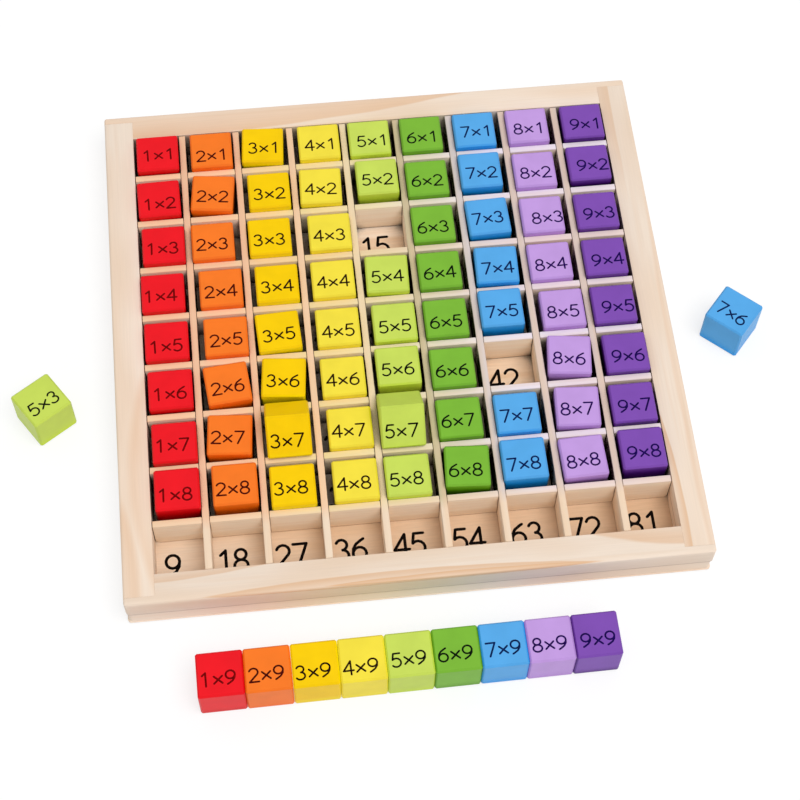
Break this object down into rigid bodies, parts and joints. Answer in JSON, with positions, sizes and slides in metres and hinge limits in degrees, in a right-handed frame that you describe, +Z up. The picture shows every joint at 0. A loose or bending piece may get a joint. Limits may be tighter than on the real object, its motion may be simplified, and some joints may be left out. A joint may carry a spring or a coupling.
{
  "type": "multiplication board",
  "caption": "Square wooden tray with a grid of slat dividers and a painted cube for each cell; one row of cubes and two loose cubes stand on the table beside it.",
  "frame": {"origin": "middle of the tray's flat underside, on the table", "axes": "+X along the columns from the first to the last, +Y from the front rail to the back rail, +Z up"},
  "size_m": [0.2798, 0.2424, 0.0288],
  "materials": {
    "pine": "planed softwood, unpainted, matt",
    "slat_wood": "thin planed slats, unpainted, matt",
    "plywood": "thin plywood with printed products",
    "red_cube": "hardwood cube painted red, satin, with printed factors",
    "orange_cube": "hardwood cube painted orange, satin, with printed factors",
    "amber_cube": "hardwood cube painted amber, satin, with printed factors",
    "yellow_cube": "hardwood cube painted yellow, satin, with printed factors",
    "lime_cube": "hardwood cube painted lime, satin, with printed factors",
    "green_cube": "hardwood cube painted green, satin, with printed factors",
    "blue_cube": "hardwood cube painted blue, satin, with printed factors",
    "lilac_cube": "hardwood cube painted lilac, satin, with printed factors",
    "purple_cube": "hardwood cube painted purple, satin, with printed factors"
  },
  "bodies": {
    "root": {"base_panel": "plywood", "rail_front": "pine", "rail_back": "pine", "rail_left": "pine", "rail_right": "pine", "column_divider_1": "slat_wood", "column_divider_2": "slat_wood", "column_divider_3": "slat_wood", "column_divider_4": "slat_wood", "column_divider_5": "slat_wood", "column_divider_6": "slat_wood", "column_divider_7": "slat_wood", "column_divider_8": "slat_wood", "row_divider_1": "slat_wood", "row_divider_2": "slat_wood", "row_divider_3": "slat_wood", "row_divider_4": "slat_wood", "row_divider_5": "slat_wood", "row_divider_6": "slat_wood", "row_divider_7": "slat_wood", "row_divider_8": "slat_wood", "tray_cubes_1": "red_cube", "tray_cubes_2": "orange_cube", "tray_cubes_3": "amber_cube", "tray_cubes_4": "yellow_cube", "tray_cubes_5": "lime_cube", "tray_cubes_6": "green_cube", "tray_cubes_7": "blue_cube", "tray_cubes_8": "lilac_cube", "tray_cubes_9": "purple_cube", "row_cube_1": "red_cube", "row_cube_2": "orange_cube", "row_cube_3": "amber_cube", "row_cube_4": "yellow_cube", "row_cube_5": "lime_cube", "row_cube_6": "green_cube", "row_cube_7": "blue_cube", "row_cube_8": "lilac_cube", "row_cube_9": "purple_cube", "left_cube_5x3": "lime_cube", "right_cube_7x6": "blue_cube"}
  },
  "joints": []
}
